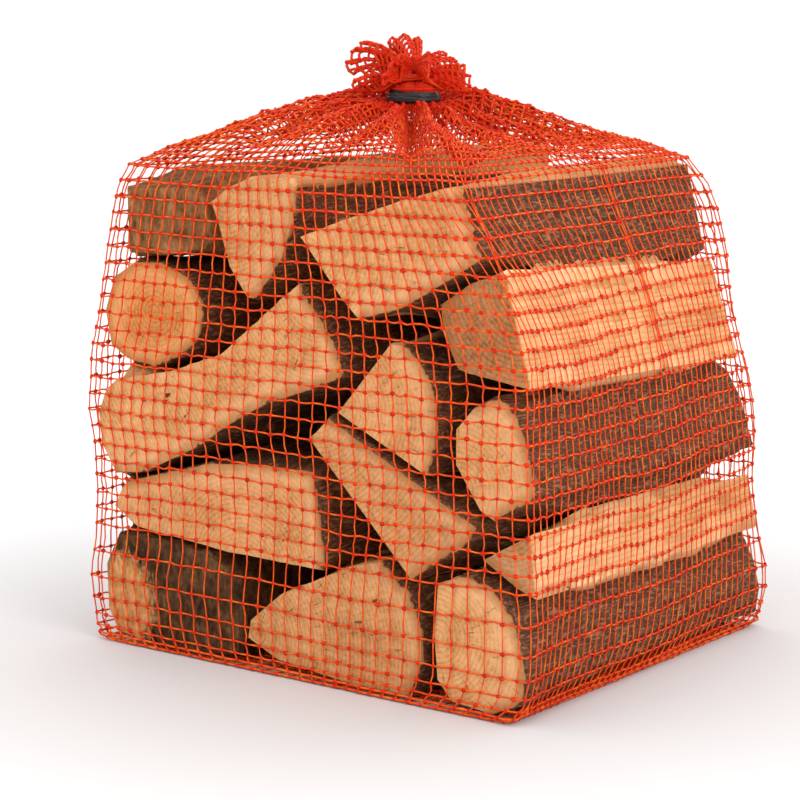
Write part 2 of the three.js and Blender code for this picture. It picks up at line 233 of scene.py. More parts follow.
def wood_material(finish):
    """Split and sawn hardwood with its bark on: dry, matt and fibrous. Growth rings show as arcs
    on the sawn ends and as long streaks down the split sides; the bark is dark and furrowed."""
    material, tree = new_material(f"{finish}_hardwood_split_and_sawn")
    dark, mid, light, pale = WOOD_COLOURS[finish]
    place = add_node(tree, "ShaderNodeTexCoord")
    ring = add_node(tree, "ShaderNodeAttribute", {"attribute_name": "ring_mm"})
    depth = add_node(tree, "ShaderNodeAttribute", {"attribute_name": "bark_mm"})
    end = add_node(tree, "ShaderNodeAttribute", {"attribute_name": "end_face"})
    spoke = add_node(tree, "ShaderNodeAttribute", {"attribute_name": "spoke"})

    # Fibres run along the log: about 1.5 mm wide and 30 mm long.
    along = add_node(tree, "ShaderNodeMapping", {"Scale": (1, 0.05, 1)},
                     {"Vector": (place, "Object")})
    fibre = add_node(tree, "ShaderNodeTexNoise",
                     {"Scale": 650.0, "Detail": 5.0, "Roughness": 0.65},
                     {"Vector": (along, "Vector")})
    streak = add_node(tree, "ShaderNodeTexNoise",
                      {"Scale": 140.0, "Detail": 3.0, "Roughness": 0.6},
                      {"Vector": (along, "Vector")})
    blotch = add_node(tree, "ShaderNodeTexNoise",
                      {"Scale": 38.0, "Detail": 4.0, "Roughness": 0.6},
                      {"Vector": (place, "Object")})
    grit = add_node(tree, "ShaderNodeTexNoise",
                    {"Scale": 430.0, "Detail": 4.0, "Roughness": 0.7},
                    {"Vector": (place, "Object")})

    # One year's growth is about 2.6 mm; the line closes with a dark edge.
    wander = add_node(tree, "ShaderNodeMath", {"operation": "MULTIPLY", 1: 3.2},
                      {0: (blotch, "Fac")})
    years = add_node(tree, "ShaderNodeMath", {"operation": "ADD"},
                     {0: (ring, "Fac"), 1: (wander, "Value")})
    year = add_node(tree, "ShaderNodeMath", {"operation": "DIVIDE", 1: 2.6},
                    {0: (years, "Value")})
    phase = add_node(tree, "ShaderNodeMath", {"operation": "FRACT"}, {0: (year, "Value")})
    line = add_node(tree, "ShaderNodeMapRange",
                    {"From Min": 0.55, "From Max": 1.0, "To Min": 0.0, "To Max": 1.0},
                    {"Value": (phase, "Value")})
    # Rays and drying checks run out from the pith on the sawn ends.
    ray = add_node(tree, "ShaderNodeTexNoise",
                   {"Scale": 26.0, "Detail": 4.0, "Roughness": 0.6},
                   {"Vector": (spoke, "Vector")})
    check = add_node(tree, "ShaderNodeMapRange",
                     {"From Min": 0.34, "From Max": 0.30, "To Min": 0.0, "To Max": 1.0},
                     {"Value": (ray, "Fac")})
    check_end = add_node(tree, "ShaderNodeMath", {"operation": "MULTIPLY"},
                         {0: (check, "Result"), 1: (end, "Fac")})

    # Fibre on the sides, rays and fine pores on the ends.
    side_tone = add_node(tree, "ShaderNodeMix", {"data_type": "FLOAT", "Factor": 0.5},
                         {2: (fibre, "Fac"), 3: (streak, "Fac")})
    end_tone = add_node(tree, "ShaderNodeMix", {"data_type": "FLOAT", "Factor": 0.33},
                        {2: (grit, "Fac"), 3: (ray, "Fac")})
    tone = add_node(tree, "ShaderNodeMix", {"data_type": "FLOAT"},
                    {0: (end, "Fac"), 2: (side_tone, 0), 3: (end_tone, 0)})
    toned = add_node(tree, "ShaderNodeMix", {"data_type": "FLOAT", "Factor": 0.35},
                     {2: (tone, 0), 3: (blotch, "Fac")})
    ringed = add_node(tree, "ShaderNodeMath", {"operation": "MULTIPLY_ADD", 1: -0.10},
                      {0: (line, "Result"), 2: (toned, 0)})
    # Painted shade: the split sides are painted browner and darker towards the back of the pile.
    axes = add_node(tree, "ShaderNodeSeparateXYZ", links={"Vector": (place, "Object")})
    painted_shade_to_back = add_node(tree, "ShaderNodeMapRange",
                      {"From Min": -0.07, "From Max": 0.12, "To Min": 0.0, "To Max": 0.085},
                      {"Value": (axes, "Y")})
    lined = add_node(tree, "ShaderNodeMath", {"operation": "SUBTRACT"},
                     {0: (ringed, "Value"), 1: (painted_shade_to_back, "Result")})
    wood = add_node(tree, "ShaderNodeValToRGB", links={"Fac": (lined, "Value")})
    colour_steps(wood, [(0.33, dark), (0.43, mid), (0.52, light), (0.64, pale)])
    checked = add_node(tree, "ShaderNodeMix", {"data_type": "RGBA", 7: colour("#5E3A1C")},
                       {0: (check_end, "Value"), 6: (wood, "Color")})

    # Sapwood just under the bark is paler, and some sawn ends are darker brown all over.
    sap = add_node(tree, "ShaderNodeMapRange",
                   {"From Min": 16.0, "From Max": 7.0, "To Min": 0.0, "To Max": 0.45},
                   {"Value": (depth, "Fac")})
    sapwood = add_node(tree, "ShaderNodeMix", {"data_type": "RGBA", 7: colour(pale)},
                       {0: (sap, "Result"), 6: (checked, 2)})
    darkening = add_node(tree, "ShaderNodeAttribute", {"attribute_name": "end_age"})
    darker_end_colour = add_node(tree, "ShaderNodeValToRGB", links={"Fac": (lined, "Value")})
    colour_steps(darker_end_colour, [(0.36, "#7C4A25"), (0.48, "#AC6C3C"), (0.62, "#CC8C58")])
    darkened_ends = add_node(tree, "ShaderNodeMix", {"data_type": "RGBA"},
                    {0: (darkening, "Fac"), 6: (sapwood, 2), 7: (darker_end_colour, "Color")})

    bark_colour, bark_height = bark_pattern(tree, place)
    edge = add_node(tree, "ShaderNodeMath", {"operation": "MULTIPLY_ADD", 1: 1.8, 2: -0.9},
                    {0: (streak, "Fac")})
    ragged = add_node(tree, "ShaderNodeMath", {"operation": "ADD"},
                      {0: (depth, "Fac"), 1: (edge, "Value")})
    is_bark = add_node(tree, "ShaderNodeMapRange",
                       {"From Min": BARK_THICKNESS + 0.2, "From Max": BARK_THICKNESS - 0.2,
                        "To Min": 0.0, "To Max": 1.0}, {"Value": (ragged, "Value")})
    # The bast, between bark and sapwood, is orange brown and fades out over some 5 mm.
    bast = add_node(tree, "ShaderNodeMapRange",
                    {"From Min": BARK_THICKNESS + 5.0, "From Max": BARK_THICKNESS,
                     "To Min": 0.0, "To Max": 0.75}, {"Value": (ragged, "Value")})
    brown = add_node(tree, "ShaderNodeMix", {"data_type": "RGBA", 7: colour("#A4622C")},
                     {0: (bast, "Result"), 6: (darkened_ends, 2)})
    skin = add_node(tree, "ShaderNodeMix", {"data_type": "RGBA"},
                    {0: (is_bark, "Result"), 6: (brown, 2), 7: (bark_colour, "Color")})

    wood_height = add_node(tree, "ShaderNodeMath", {"operation": "MULTIPLY_ADD", 1: -0.5},
                           {0: (check_end, "Value"), 2: (tone, 0)})
    wood_relief = add_node(tree, "ShaderNodeMath", {"operation": "MULTIPLY", 1: 0.28},
                           {0: (wood_height, "Value")})
    height = add_node(tree, "ShaderNodeMix", {"data_type": "FLOAT"},
                      {0: (is_bark, "Result"), 2: (wood_relief, "Value"), 3: (bark_height, 0)})
    surface = add_node(tree, "ShaderNodeBsdfPrincipled",
                       {"Roughness": 0.82, "IOR": 1.45, "Specular IOR Level": 0.25},
                       {"Base Color": (skin, 2)})
    close_material(tree, surface, (height, 0), 0.0012)
    return material


def bark_pattern(tree, place):
    """Furrowed bark: plates about 3 mm across and 12 mm long, paler on top, dark between."""
    plates_place = add_node(tree, "ShaderNodeMapping", {"Scale": (1, 0.25, 1)},
                            {"Vector": (place, "Object")})
    twist = add_node(tree, "ShaderNodeTexNoise", {"Scale": 90.0, "Detail": 4.0},
                     {"Vector": (plates_place, "Vector")})
    bent = add_node(tree, "ShaderNodeMix",
                    {"data_type": "VECTOR", "Factor": 0.03},
                    {4: (plates_place, "Vector"), 5: (twist, "Color")})
    plates = add_node(tree, "ShaderNodeTexVoronoi",
                      {"feature": "DISTANCE_TO_EDGE", "Scale": 330.0}, {"Vector": (bent, 1)})
    flake = add_node(tree, "ShaderNodeTexNoise",
                     {"Scale": 420.0, "Detail": 6.0, "Roughness": 0.7},
                     {"Vector": (plates_place, "Vector")})
    crown = add_node(tree, "ShaderNodeMapRange",
                     {"From Min": 0.0, "From Max": 0.34, "To Min": 0.15, "To Max": 1.0},
                     {"Value": (plates, "Distance")})
    height = add_node(tree, "ShaderNodeMix", {"data_type": "FLOAT", "Factor": 0.6},
                      {2: (crown, "Result"), 3: (flake, "Fac")})
    shade = add_node(tree, "ShaderNodeValToRGB", links={"Fac": (height, 0)})
    colour_steps(shade, [(0.2, "#26130A"), (0.44, "#633D29"), (0.66, "#906145"), (0.9, "#BC8F6C")])
    return shade, height


def weathered_material(finish):
    """Old, weathered wood with the bark still clinging: dull brown and flaky. Where a piece has
    split away, a fresh pale scar shows."""
    material, tree = new_material(f"weathered_hardwood_{finish}")
    dark, mid, light, pale = WEATHERED_COLOURS[finish]
    place = add_node(tree, "ShaderNodeTexCoord")
    scar = add_node(tree, "ShaderNodeAttribute", {"attribute_name": "scar"})
    upright = add_node(tree, "ShaderNodeMapping", {"Scale": (1, 1, 0.45)},
                       {"Vector": (place, "Object")})
    flake = add_node(tree, "ShaderNodeTexNoise",
                     {"Scale": 330.0, "Detail": 6.0, "Roughness": 0.72},
                     {"Vector": (upright, "Vector")})
    lump = add_node(tree, "ShaderNodeTexVoronoi",
                    {"feature": "F1", "Scale": 210.0}, {"Vector": (place, "Object")})
    patch = add_node(tree, "ShaderNodeTexNoise", {"Scale": 45.0, "Detail": 3.0},
                     {"Vector": (place, "Object")})
    mixed = add_node(tree, "ShaderNodeMix", {"data_type": "FLOAT", "Factor": 0.14},
                     {2: (flake, "Fac"), 3: (lump, "Distance")})
    height = add_node(tree, "ShaderNodeMix", {"data_type": "FLOAT", "Factor": 0.3},
                      {2: (mixed, 0), 3: (patch, "Fac")})
    shade = add_node(tree, "ShaderNodeValToRGB", links={"Fac": (height, 0)})
    colour_steps(shade, [(0.3, dark), (0.43, mid), (0.55, light), (0.7, pale)])
    fresh = add_node(tree, "ShaderNodeValToRGB", links={"Fac": (flake, "Fac")})
    colour_steps(fresh, [(0.3, "#A06A3A"), (0.5, "#CB8E56"), (0.7, "#E4B27C")])
    ragged = add_node(tree, "ShaderNodeMath", {"operation": "MULTIPLY_ADD", 1: 0.9, 2: -0.45},
                      {0: (flake, "Fac")})
    edge = add_node(tree, "ShaderNodeMath", {"operation": "ADD"},
                    {0: (scar, "Fac"), 1: (ragged, "Value")})
    is_fresh = add_node(tree, "ShaderNodeMapRange",
                        {"From Min": 0.35, "From Max": 0.65, "To Min": 0.0, "To Max": 1.0},
                        {"Value": (edge, "Value")})
    skin = add_node(tree, "ShaderNodeMix", {"data_type": "RGBA"},
                    {0: (is_fresh, "Result"), 6: (shade, "Color"), 7: (fresh, "Color")})
    surface = add_node(tree, "ShaderNodeBsdfPrincipled",
                       {"Roughness": 0.88, "IOR": 1.45, "Specular IOR Level": 0.2},
                       {"Base Color": (skin, 2)})
    close_material(tree, surface, (height, 0), 0.0016)
    return material


def relief(piece, name, kind, grain, size, strength, group):
    """Raises or sinks one zone of a log by a pattern stretched along the grain."""
    pattern = bpy.data.textures.new(name, kind)
    pattern.noise_scale = size
    modifier = piece.modifiers.new(name, "DISPLACE")
    modifier.texture = pattern
    modifier.texture_coords = "OBJECT"
    modifier.texture_coords_object = grain
    modifier.strength = strength
    modifier.mid_level = 0.5
    modifier.vertex_group = group


def move_vertices(mesh, places):
    mesh.vertices.foreach_set("co", places.astype(np.float32).ravel())
    mesh.update()


def vertex_table(mesh):
    places = np.empty(len(mesh.vertices) * 3)
    normals = np.empty(len(mesh.vertices) * 3)
    mesh.vertices.foreach_get("co", places)
    mesh.vertex_normals.foreach_get("vector", normals)
    return places.reshape(-1, 3), normals.reshape(-1, 3)


def group_vertices(piece, name, weights):
    group = piece.vertex_groups.new(name=name)
    for weight in (0.25, 0.5, 0.75, 1.0):
        chosen = np.flatnonzero(np.abs(weights - weight) <= 0.125)
        group.add([int(i) for i in chosen], weight, "REPLACE")


def skin_of(piece):
    places, _ = vertex_table(piece.data)
    return places, [tuple(face.vertices) for face in piece.data.polygons]


def surface_of(skins):
    """One searchable surface from several skins."""
    places, faces = [], []
    for skin_places, skin_faces in skins:
        first = len(places)
        places.extend(skin_places.tolist())
        faces.extend(tuple(first + corner for corner in face) for face in skin_faces)
    return BVHTree.FromPolygons(places, faces)


def facing_bark(normals, span):
    angle = np.degrees(np.arctan2(normals[:, 2], normals[:, 0]))
    first, last = span
    return ((angle - first) % 360) <= (last - first)


def write_attribute(mesh, name, values, kind="FLOAT"):
    layer = mesh.attributes.new(name, kind, "POINT")
    key = "value" if kind == "FLOAT" else "vector"
    layer.data.foreach_set(key, np.ascontiguousarray(values, dtype=np.float32).ravel())


def pith_line(pith, along):
    """Where the pith lies at each place along the log: the pile draws in and settles backwards."""
    x, z = pith[0] * MM, pith[1] * MM
    share = (along - LOG_FRONT) / LOG_LENGTH
    return x - 0.07 * (x - PILE_LEFT) * share, z - 0.05 * z * share


def from_sawn_end(places):
    """How far each place is from the nearer sawn end of its log."""
    return np.minimum(places[:, 1] - places[:, 1].min(), places[:, 1].max() - places[:, 1])


def settle(log, others, daylight):
    """Stacked logs touch: away from its sawn ends the log swells until it meets its neighbours.
    Only along the pile's left edge, for the width given, does daylight show between them."""
    places, normals = vertex_table(log.data)
    from_end = from_sawn_end(places)
    from_left = places[:, 0] - PILE_LEFT + SLANT * (places[:, 1] - LOG_FRONT)
    inner = smoothstep(from_left, 0.03, 0.06)
    share = smoothstep(from_end, 0.002 + 0.012 * inner, 0.012 + 0.048 * inner)
    share *= smoothstep(from_left, daylight, daylight + 0.008)
    for i in np.flatnonzero((share > 0) & (np.abs(normals[:, 1]) < 0.5)):
        place, normal = Vector(places[i]), Vector(normals[i])
        hit = others.ray_cast(place + 0.0005 * normal, normal, WIDEST_GAP)
        if hit[0] is not None:
            reach = 1 - smoothstep(hit[3], 0.012, WIDEST_GAP)
            places[i] += normals[i] * (0.5 * hit[3] + 0.0001) * share[i] * reach
    move_vertices(log.data, places)


def make_log(node, finish, bark_span, pith, materials, grain, others):
    """A refined copy of the CAD log: remeshed fine, then split, sawn and barked zone by zone."""
    only(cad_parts[node])
    bpy.ops.object.duplicate()
    log = bpy.context.object
    log.name = node + "_wood"
    log.data.name = log.name
    bpy.ops.object.mode_set(mode="EDIT")
    bpy.ops.mesh.select_all(action="SELECT")
    bpy.ops.mesh.remove_doubles(threshold=1e-5)
    bpy.ops.object.mode_set(mode="OBJECT")
    remesh = log.modifiers.new("fine_skin", "REMESH")
    remesh.mode = "SHARP"
    remesh.octree_depth = 7
    remesh.scale = 0.92
    remesh.use_remove_disconnected = False
    apply_modifiers(log)
    settle(log, others, DAYLIGHT.get(node, 0.004))

    places, normals = vertex_table(log.data)
    is_end = np.abs(normals[:, 1]) > 0.75
    is_bark = ~is_end & facing_bark(normals, bark_span)
    if node == "log_wedge_top":
        # Its upper side is split bare, lower and lower towards the back.
        is_bark &= places[:, 2] < 0.2565 - 0.06 * (places[:, 1] - LOG_FRONT)
    rise, run, last_x = RISING_TOPS.get(node, (0.0, 1.0, 1.0))
    rise *= smoothstep(places[:, 1], -0.122, -0.122 + run)
    rise *= 1 - smoothstep(places[:, 0], last_x - 0.025, last_x)
    places[:, 2] += rise * smoothstep(places[:, 2], 0.228, 0.248)
    move_vertices(log.data, places)
    group_vertices(log, "bark", is_bark)
    group_vertices(log, "split", ~is_end & ~is_bark)
    # The sawn ends keep their outline: the hewn waves die away towards them.
    group_vertices(log, "side", ~is_end * smoothstep(from_sawn_end(places), 0.0, 0.045))
    seed = sum(ord(letter) for letter in node) % 17
    grain.location = (seed * 0.37, 0, seed * 0.21)
    bpy.context.view_layer.update()
    relief(log, "hewn_waves", "CLOUDS", grain, 0.045, 0.0030, "side")
    relief(log, "split_fibres", "CLOUDS", grain, 0.006, 0.0016, "split")
    relief(log, "bark_furrows", "STUCCI", grain, 0.006, 0.0022, "bark")
    apply_modifiers(log)

    places, _ = vertex_table(log.data)
    tree = kdtree.KDTree(int(is_bark.sum()) or 1)
    for place in places[is_bark]:
        tree.insert(place, 0)
    tree.balance()
    depth = np.zeros(len(places))
    for i in np.flatnonzero(~is_bark):
        depth[i] = tree.find(places[i])[2] / MM
    pith_x, pith_z = pith_line(pith, places[:, 1])
    out_x, out_z = places[:, 0] - pith_x, places[:, 2] - pith_z
    reach = np.hypot(out_x, out_z) + 1e-6
    write_attribute(log.data, "bark_mm", depth)
    write_attribute(log.data, "ring_mm", reach / MM)
    write_attribute(log.data, "end_face", is_end.astype(float))
    write_attribute(log.data, "end_age", is_end * DARKER_ENDS.get(node, 0.0))
    spoke = np.column_stack([out_x / reach, out_z / reach, reach * 3 + seed])
    write_attribute(log.data, "spoke", spoke, "FLOAT_VECTOR")
    if finish == "dark_brown":
        scar_place = np.array([-0.126, -0.124, 0.024])
        away = np.linalg.norm((places - scar_place) / np.array([0.021, 0.02, 0.026]), axis=1)
        write_attribute(log.data, "scar", 1.5 - away)
    log.data.materials.clear()
    log.data.materials.append(materials[finish])
    for group in list(log.vertex_groups):
        log.vertex_groups.remove(group)
    only(log)
    bpy.ops.object.shade_smooth_by_angle(angle=math.radians(50))
    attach(log, "root")
    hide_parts(node)
    return log


def make_logs():
    materials = {finish: wood_material(finish) for finish in WOOD_COLOURS}
    materials.update({finish: weathered_material(finish) for finish in WEATHERED_COLOURS})
    grain = bpy.data.objects.new("grain_direction", None)
    grain.scale = (1, 9, 1)
    bpy.context.collection.objects.link(grain)
    stack = {node: skin_of(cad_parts[node]) for node in LOGS}
    logs = []
    for node, facts in LOGS.items():
        others = surface_of([skin for other, skin in stack.items() if other != node])
        logs.append(make_log(node, *facts, materials, grain, others))
    bpy.data.objects.remove(grain)
    return logs


# ---------------------------------------------------------------- the net bag

CELLS_ROUND = (33, 41, 35, 32)   # along the front, right, back and left
CELLS_BASE, CELLS_SIDE, CELLS_SHOULDER, CELLS_NECK, CELLS_RUFFLE = 12, 29, 22, 2, 8
UPRIGHT_RADIUS, LEVEL_RADIUS = 0.00040, 0.00048
NECK = Vector((-0.014, -0.010, 0.0))
NECK_RADIUS = 0.0120
NECK_BOTTOM, NECK_TOP = 0.2935, 0.3035
TIE_BOTTOM, TIE_TURNS = 0.2968, 2.5
# The middle of the gathered net, just above the tie.
GATHER_CENTRE = (NECK.x, NECK.y, 0.306)

# How far the net stands at each height, in millimetres: the left side, the right side at the
# front and the right side at the back, where the pile draws in.
NET_LEVELS = [
    (0, -139, 131, 125), (3, -145, 137, 129), (10, -149.5, 143, 133), (24, -152, 146, 137.5),
    (38, -154, 146.5, 137.5), (56, -149.5, 146, 132), (84, -147.5, 147, 128),
    (112, -149, 147.5, 129.5), (129, -153, 146.5, 128.5), (146, -151.5, 145, 125.5),
    (162, -150.5, 144, 120.5), (181, -145.5, 140, 115), (212, -138.5, 132, 111),
    (236, -132.5, 123, 104), (250, -128.5, 114, 97), (264, -123, 104, 83),
]
# The ruffle's petals: the way each points round the neck and upwards, in degrees, its length in
# millimetres, and how far its loop is rolled up on edge. Each takes an equal share of the net.
PETALS = [(-124, 13, 35, 78), (-86, 50, 27, 72), (-28, 54, 27, 72), (22, 28, 32, 80),
          (60, 50, 30, 60), (146, 76, 35, 0), (184, 54, 32, 35), (214, 48, 40, 80)]
NET_FRONT, NET_BACK = -0.1258, 0.1258
# Towards the right the back leans in, by this much for each metre up, over this width.
NET_BACK_LEAN, NET_BACK_WIDTH = 0.045, 0.28
CORNER_RADIUS = 0.006
BEAD_RADIUS = 0.00142
# The net lies this high at the floor, and its sides end at the pile's top edge.
FLOOR_FOLD, TOP_EDGE = 0.0014, 0.264
# How many times the net's tension is shared out between neighbouring points.
RELAXING_PASSES = 500
# The valleys between the pleats, in degrees round the neck, and how deep each pleat stands.
VALLEYS = [-137, -113, -89, -61, -25, 6, 29, 55, 78, 104, 128, 150, 172, 198, 223]
PLEAT_DEPTHS = [0.9, 1.0, 1.15, 1.4, 1.0, 0.85, 1.1, 0.9, 1.05, 0.8, 1.0, 0.9, 1.1, 0.9]
# From the top edge of the pile to the neck: how far along, and how high.
SHOULDER_RISE = [
    (0, 264), (0.08, 268), (0.2, 277), (0.42, 290.5), (0.62, 298.5), (0.8, 301),
    (0.92, 299.5), (1.0, 294.5),
]


def smooth_noise(shape, cells_u, cells_v, rng):
    """Seeded noise between -1 and 1 that varies smoothly and closes on itself round the bag."""
    grid = rng.uniform(-1, 1, (cells_v + 2, cells_u))
    v = np.linspace(0, cells_v, shape[0])[:, None] * np.ones(shape[1])[None, :]
    u = np.ones(shape[0])[:, None] * np.linspace(0, cells_u, shape[1], endpoint=False)[None, :]
    v0, u0 = v.astype(int), u.astype(int)
    fv, fu = v - v0, u - u0
    fv, fu = fv * fv * (3 - 2 * fv), fu * fu * (3 - 2 * fu)
    u1 = (u0 + 1) % cells_u
    low = grid[v0, u0] * (1 - fu) + grid[v0, u1] * fu
    high = grid[v0 + 1, u0] * (1 - fu) + grid[v0 + 1, u1] * fu
    return low * (1 - fv) + high * fv


def outline(across, heights):
    """The bag's rounded outline at each height: places, and the way that faces out."""
    table = np.array(NET_LEVELS) * MM
    left, right_front, right_back = (
        np.interp(heights, table[:, 0], table[:, k]) for k in (1, 2, 3))
    front = NET_FRONT + 0.004 * smoothstep(heights, 0.252, 0.266)
    lean = NET_BACK_LEAN * heights
    corner_back = NET_BACK - lean * ((right_back - left) / NET_BACK_WIDTH) ** 2
    face = np.floor(across).astype(int) % 4
    share = across - np.floor(across)
    x = np.choose(face, [left + (right_front - left) * share,
                         right_front + (right_back - right_front) * share,
                         right_back + (left - right_back) * share, left])
    back = NET_BACK - lean * ((x - left) / NET_BACK_WIDTH) ** 2
    y = np.choose(face, [front, front + (corner_back - front) * share, back,
                         back + (front - back) * share])
    along = np.clip((y - NET_FRONT) / (NET_BACK - NET_FRONT), 0, 1)
    right = right_front + (right_back - right_front) * along
    inner_x = np.clip(x, left + CORNER_RADIUS, right - CORNER_RADIUS)
    inner_y = np.clip(y, front + CORNER_RADIUS, back - CORNER_RADIUS)
    out = np.stack([x - inner_x, y - inner_y], axis=-1)
    out /= np.linalg.norm(out, axis=-1, keepdims=True)
    return inner_x + CORNER_RADIUS * out[..., 0], inner_y + CORNER_RADIUS * out[..., 1], out


def net_grid(pile):
    """Places for the whole net, two steps to a cell: base, sides, shoulder, neck and ruffle."""
    rng = np.random.default_rng(7)
    columns = 2 * sum(CELLS_ROUND)
    counts = [2 * n for n in (CELLS_BASE, CELLS_SIDE, CELLS_SHOULDER, CELLS_NECK, CELLS_RUFFLE)]
    rows = sum(counts) + 1
    ends = np.cumsum([0] + counts)
    row = np.arange(rows)[:, None] * np.ones(columns)[None, :]
    starts = np.cumsum([0] + [2 * n for n in CELLS_ROUND])
    base_across = np.interp(np.arange(columns), starts, np.arange(5))

    # The strands wander: slowly over the whole bag, and a little at every knot.
    slow_u = smooth_noise(row.shape, 17, 9, rng)
    slow_v = smooth_noise(row.shape, 13, 7, rng)
    knot_u = rng.uniform(-1, 1, row.shape)
    knot_v = rng.uniform(-1, 1, row.shape)
    across = base_across[None, :] + 0.016 * slow_u + 0.0022 * knot_u
    side_v = (row - ends[1]) / counts[1]
    # Low on the right the net is dragged forwards, and higher up some strands are bunched.
    on_right = np.exp(-((across - 1.5) / 0.42) ** 4)
    across -= 0.05 * on_right * (1 - smoothstep(side_v, 0.0, 0.22))
    bunch = (across - 1.60) / 0.06
    across -= 0.046 * bunch * np.exp(-bunch ** 2) * smoothstep(side_v, 0.45, 0.75)
    # Near the top the strands round the front right corner lean towards the neck.
    across -= 0.10 * np.exp(-((across - 1.18) / 0.33) ** 2) * smoothstep(side_v, 0.66, 1.0)
    across = across % 4

    # Heights of the rows on the sides: crowded along the bottom edge, where the net sags.
    t = np.clip(side_v, 0, 1)
    crowd = np.sin(np.pi * np.clip(t / 0.24, 0, 1))
    height = FLOOR_FOLD + (TOP_EDGE - FLOOR_FOLD) * (t - 0.058 * crowd * (t < 0.24))
    height += (0.0028 * slow_v + 0.0007 * knot_v) * np.sin(np.pi * t) ** 0.5
    height = np.clip(height, FLOOR_FOLD, TOP_EDGE)
    x, y, out = outline(across, height)
    z = height.copy()
    # Spare net lies in small folds along the bottom edge.
    slack = 0.0022 * (1 - smoothstep(side_v, 0.03, 0.11)) * smoothstep(side_v, -0.02, 0.02)
    bulge = slack * (0.5 + 0.5 * np.cos(row * 1.7 + 2 * slow_u) + 0.3 * knot_v)
    x += bulge * out[..., 0]
    y += bulge * out[..., 1]

    # The base runs in under the logs to the seam.
    seam_x = np.clip(x, -0.112, 0.104)
    share = np.clip((ends[1] - row) / counts[0], 0, 1)
    ease = share ** 0.9
    x += (seam_x - x) * ease
    y += (0 - y) * ease

    # The shoulder climbs to the neck in pleats that deepen as the net is gathered.
    turn = np.arange(columns)[None, :] / columns * 2 * math.pi + math.radians(VALLEYS[0])
    share = np.clip((row - ends[2]) / counts[2], 0, 1)
    share = share + 0.10 * share * (1 - share)
    turn_degrees = np.degrees(turn)
    fold = math.pi * np.interp(turn_degrees, VALLEYS, np.arange(len(VALLEYS)))
    which = np.clip((fold / math.pi).astype(int), 0, len(PLEAT_DEPTHS) - 1)
    ridge = np.abs(np.sin(fold))
    pleat = ridge ** 0.8 * np.array(PLEAT_DEPTHS)[which] - 0.85
    depth = 0.0145 * smoothstep(share, 0.08, 0.5) * (1 - 0.75 * smoothstep(share, 0.8, 1.0))
    squeeze = 0.12 * smoothstep(share, 0.10, 0.6) * np.array(PLEAT_DEPTHS)[which]
    crease = np.sin(2 * fold)
    angle = turn + squeeze * crease + 0.014 * knot_u
    neck_x = NECK.x + NECK_RADIUS * np.cos(angle)
    neck_y = NECK.y + NECK_RADIUS * np.sin(angle)
    x += (neck_x - x) * share
    y += (neck_y - y) * share
    rise = np.array(SHOULDER_RISE)
    lift = np.interp(share, rise[:, 0], rise[:, 1] * MM)
    on_shoulder = row > ends[2]
    z = np.where(on_shoulder, lift, z)
    z += np.where(on_shoulder, depth * pleat + 0.0011 * knot_v * smoothstep(share, 0.05, 0.3)
                  + 0.002 * slow_v * np.sin(np.pi * share), 0)
    right_dip = 0.0092 * smoothstep(x, -0.005, 0.04) * smoothstep(share, 0.10, 0.45)
    z -= np.where(on_shoulder, right_dip * (1 - smoothstep(share, 0.72, 0.9)), 0)
    to_front = np.clip(np.cos(turn - math.radians(-52)), 0, 1)
    front_dip = 0.0105 * to_front * smoothstep(share, 0.25, 0.7) * (1 - smoothstep(share, 0.9, 1.0))
    z -= np.where(on_shoulder, front_dip, 0)

    # Out of the tie the net bursts open into a ruffle of soft petals.
    share = np.clip((row - ends[3]) / counts[3], 0, 1)
    above = row > ends[3]
    z = np.where(above, NECK_BOTTOM + (NECK_TOP - NECK_BOTTOM) * share, z)
    share = np.clip((row - ends[4]) / counts[4], 0, 1)
    above = row > ends[4]
    number = np.arange(columns)[None, :] / columns * len(PETALS)
    which = number.astype(int)
    across_petal = 2 * (number - which) - 1
    points, climbs, lengths, rolls = (
        np.array([petal[k] for petal in PETALS])[which] for k in range(4))
    points, climbs, rolls = np.radians(points), np.radians(climbs), np.radians(rolls)
    crimp = 1.0 + 0.03 * np.cos(17 * across_petal) + 0.02 * knot_v
    tip = (14 + (lengths - 14) * np.cos(across_petal * math.pi / 2) ** 0.45) * MM
    run = NECK_RADIUS + (tip * crimp - NECK_RADIUS) * share
    opening = (0.0082 * np.sin(np.pi * across_petal) + 0.0010 * np.sin(17 * across_petal)) * share
    lean = climbs + 0.5 * (1 - share) - 0.2 * share
    bloom = smoothstep(share, 0.0, 0.35)
    flat = run * np.cos(lean)
    aside, aloft = opening * np.cos(rolls), opening * np.sin(rolls)
    flat -= aloft * np.sin(lean)
    petal_x = NECK.x + flat * np.cos(points) - aside * np.sin(points)
    petal_y = NECK.y + flat * np.sin(points) + aside * np.cos(points)
    petal_z = NECK_TOP - 0.005 + run * np.sin(lean) + aloft * np.cos(lean)
    petal_z += 0.0012 * share * np.cos(17 * across_petal)
    stem_x = NECK.x + NECK_RADIUS * np.cos(turn)
    stem_y = NECK.y + NECK_RADIUS * np.sin(turn)
    x = np.where(above, stem_x + (petal_x - stem_x) * bloom, x)
    y = np.where(above, stem_y + (petal_y - stem_y) * bloom, y)
    stem_z = NECK_TOP + 0.010 * share
    z = np.where(above, np.clip(stem_z + (petal_z - stem_z) * bloom, NECK_TOP - 0.001, None), z)

